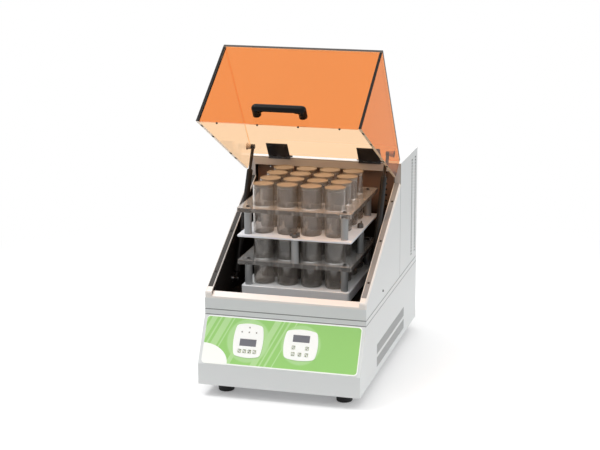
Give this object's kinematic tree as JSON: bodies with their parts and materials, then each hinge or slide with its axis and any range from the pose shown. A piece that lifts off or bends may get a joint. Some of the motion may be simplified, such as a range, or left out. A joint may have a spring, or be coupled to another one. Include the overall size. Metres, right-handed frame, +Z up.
{
  "type": "incubated benchtop shaker",
  "caption": "Heated benchtop shaker with a tinted hinged lid on gas struts, sloping control panel and an orbiting rack of capped vials.",
  "frame": {"origin": "on the floor, at the middle of the footprint", "axes": "+Z up; -Y is the front with the control panel; +X is to the right seen from the front"},
  "size_m": [0.4028, 0.6467, 0.817],
  "materials": {
    "housing_paint": "satin pale grey powder coat",
    "rim_metal": "satin warm grey paint",
    "base_steel": "plain zinc-plated sheet",
    "liner_metal": "dark sheet metal",
    "screw_black": "black oxide",
    "panel_green": null,
    "keypad_white": "white film",
    "key_grey": "soft grey",
    "display_dark": "dark display window",
    "lens_amber": "small light pipes",
    "board_green": "circuit board",
    "module_grey": "grey boxed module",
    "black_plastic": "black moulded plastic",
    "motor_paint": "dark motor paint",
    "belt_rubber": "black flat belt",
    "bearing_iron": "machined casting",
    "shaft_steel": "ground steel",
    "pulley_aluminium": "turned aluminium",
    "foot_rubber": "black rubber",
    "hinge_black": "black painted hinge",
    "lid_amber": "clear orange acrylic",
    "strut_black": "black gas strut",
    "rod_black": "black coated rod",
    "bush_beige": "beige moulded bush",
    "platform_paint": "pale satin paint",
    "acrylic_clear": "clear acrylic",
    "plate_white": "white sheet",
    "post_grey": "satin anodised",
    "knob_grey": "moulded wing knob",
    "vial_clear": "translucent vial",
    "cap_tan": "tan push-in cap"
  },
  "bodies": {
    "root": {"base_plate": "base_steel", "lower_casing": "housing_paint", "upper_casing": "housing_paint", "rear_cover": "housing_paint", "chamber_liner": "liner_metal", "rim_frame": "rim_metal", "casing_screws": "screw_black", "control_panel": "panel_green", "left_keypad": "keypad_white", "right_keypad": "keypad_white", "display_windows": "display_dark", "indicator_lenses": "lens_amber", "control_board": "board_green", "power_supply": "module_grey", "power_inlet": "black_plastic", "drive_motor": "motor_paint", "drive_belt": "belt_rubber", "shaft_bearings": "bearing_iron", "heater_element": "pulley_aluminium", "fan_motor": "motor_paint", "rubber_feet": "foot_rubber", "housing_hinge_leaves": "hinge_black", "hinge_pins": "shaft_steel", "strut_base_brackets": "shaft_steel"},
    "lid": {"lid_top": "lid_amber", "lid_front": "lid_amber", "lid_left": "lid_amber", "lid_right": "lid_amber", "lid_handle": "black_plastic", "lid_bumpers": "foot_rubber", "lid_hinge_leaves": "hinge_black", "strut_lid_brackets": "bush_beige"},
    "left_cylinder": {"left_strut_cylinder": "strut_black"},
    "left_rod": {"left_strut_rod": "rod_black"},
    "right_cylinder": {"right_strut_cylinder": "strut_black"},
    "right_rod": {"right_strut_rod": "rod_black"},
    "crank": {"crank_shaft": "shaft_steel", "crank_pulley": "pulley_aluminium"},
    "platform": {"shaker_platform": "platform_paint", "lower_rack_plate": "acrylic_clear", "middle_plate": "plate_white", "upper_rack_plate": "acrylic_clear", "rack_posts": "post_grey", "rack_knobs": "knob_grey", "vials": "vial_clear", "vial_caps": "cap_tan"},
    "left_idler": {"left_idler_crank": "shaft_steel"},
    "right_idler": {"right_idler_crank": "shaft_steel"},
    "motor_rotor": {"motor_pulley": "pulley_aluminium"},
    "fan": {"fan_rotor": "pulley_aluminium"},
    "switch": {"power_switch": "black_plastic"},
    "left_key_body_1": {"left_key_1": "key_grey"},
    "left_key_body_2": {"left_key_2": "key_grey"},
    "left_key_body_3": {"left_key_3": "key_grey"},
    "left_key_body_4": {"left_key_4": "key_grey"},
    "right_key_body_1": {"right_key_1": "key_grey"},
    "right_key_body_2": {"right_key_2": "key_grey"},
    "right_key_body_3": {"right_key_3": "key_grey"},
    "right_key_body_4": {"right_key_4": "key_grey"},
    "right_key_body_5": {"right_key_5": "key_grey"}
  },
  "joints": [
    {"name": "lid_hinge", "type": "hinge", "parent": "root", "child": "lid", "pos_m": [0, 0.115, 0.5032], "axis": [1, 0, 0], "range_deg": [0, 56.2]},
    {"name": "left_strut_swing", "type": "hinge", "parent": "root", "child": "left_cylinder", "pos_m": [-0.174, -0.095, 0.231], "axis": [1, 0, 0], "range_deg": [-5.2, 0.3]},
    {"name": "left_strut_slide", "type": "slide", "parent": "left_cylinder", "child": "left_rod", "axis": [0, 0.4589, 0.8885], "range_m": [-0.053, 0.0005]},
    {"name": "right_strut_swing", "type": "hinge", "parent": "root", "child": "right_cylinder", "pos_m": [0.174, -0.095, 0.231], "axis": [1, 0, 0], "range_deg": [-5.2, 0.3]},
    {"name": "right_strut_slide", "type": "slide", "parent": "right_cylinder", "child": "right_rod", "axis": [0, 0.4589, 0.8885], "range_m": [-0.053, 0.0005]},
    {"name": "crank_turn", "type": "hinge", "parent": "root", "child": "crank", "pos_m": [0, 0.025, 0.18], "axis": [0, 0, 1], "continuous": true},
    {"name": "platform_orbit", "type": "hinge", "parent": "crank", "child": "platform", "pos_m": [0, 0.03, 0.22], "axis": [0, 0, 1], "continuous": true},
    {"name": "left_idler_turn", "type": "hinge", "parent": "root", "child": "left_idler", "pos_m": [-0.09, -0.11, 0.18], "axis": [0, 0, 1], "continuous": true},
    {"name": "right_idler_turn", "type": "hinge", "parent": "root", "child": "right_idler", "pos_m": [0.09, -0.11, 0.18], "axis": [0, 0, 1], "continuous": true},
    {"name": "motor_turn", "type": "hinge", "parent": "root", "child": "motor_rotor", "pos_m": [0, 0.19, 0.15], "axis": [0, 0, 1], "continuous": true},
    {"name": "fan_turn", "type": "hinge", "parent": "root", "child": "fan", "pos_m": [0, 0.17, 0.352], "axis": [0, 1, 0], "continuous": true},
    {"name": "switch_rock", "type": "hinge", "parent": "root", "child": "switch", "pos_m": [-0.1005, 0.3195, 0.112], "axis": [1, 0, 0], "range_deg": [-12, 0]},
    {"name": "left_key_1_press", "type": "slide", "parent": "root", "child": "left_key_body_1", "axis": [0, 0.8689, -0.495], "range_m": [0, 0.0005], "stiffness_N_per_m": 400, "springref_m": -0.0005},
    {"name": "left_key_2_press", "type": "slide", "parent": "root", "child": "left_key_body_2", "axis": [0, 0.8689, -0.495], "range_m": [0, 0.0005], "stiffness_N_per_m": 400, "springref_m": -0.0005},
    {"name": "left_key_3_press", "type": "slide", "parent": "root", "child": "left_key_body_3", "axis": [0, 0.8689, -0.495], "range_m": [0, 0.0005], "stiffness_N_per_m": 400, "springref_m": -0.0005},
    {"name": "left_key_4_press", "type": "slide", "parent": "root", "child": "left_key_body_4", "axis": [0, 0.8689, -0.495], "range_m": [0, 0.0005], "stiffness_N_per_m": 400, "springref_m": -0.0005},
    {"name": "right_key_1_press", "type": "slide", "parent": "root", "child": "right_key_body_1", "axis": [0, 0.8689, -0.495], "range_m": [0, 0.0005], "stiffness_N_per_m": 400, "springref_m": -0.0005},
    {"name": "right_key_2_press", "type": "slide", "parent": "root", "child": "right_key_body_2", "axis": [0, 0.8689, -0.495], "range_m": [0, 0.0005], "stiffness_N_per_m": 400, "springref_m": -0.0005},
    {"name": "right_key_3_press", "type": "slide", "parent": "root", "child": "right_key_body_3", "axis": [0, 0.8689, -0.495], "range_m": [0, 0.0005], "stiffness_N_per_m": 400, "springref_m": -0.0005},
    {"name": "right_key_4_press", "type": "slide", "parent": "root", "child": "right_key_body_4", "axis": [0, 0.8689, -0.495], "range_m": [0, 0.0005], "stiffness_N_per_m": 400, "springref_m": -0.0005},
    {"name": "right_key_5_press", "type": "slide", "parent": "root", "child": "right_key_body_5", "axis": [0, 0.8689, -0.495], "range_m": [0, 0.0005], "stiffness_N_per_m": 400, "springref_m": -0.0005}
  ],
  "couplings": [
    {"joint": "left_strut_swing", "follows": "lid_hinge", "ratio": -0.084776},
    {"joint": "left_strut_slide", "follows": "lid_hinge", "m_per_rad": -0.053015},
    {"joint": "right_strut_swing", "follows": "lid_hinge", "ratio": -0.084776},
    {"joint": "right_strut_slide", "follows": "lid_hinge", "m_per_rad": -0.053015},
    {"joint": "platform_orbit", "follows": "crank_turn", "ratio": -1},
    {"joint": "left_idler_turn", "follows": "crank_turn", "ratio": 1},
    {"joint": "right_idler_turn", "follows": "crank_turn", "ratio": 1},
    {"joint": "motor_turn", "follows": "crank_turn", "ratio": 3}
  ]
}
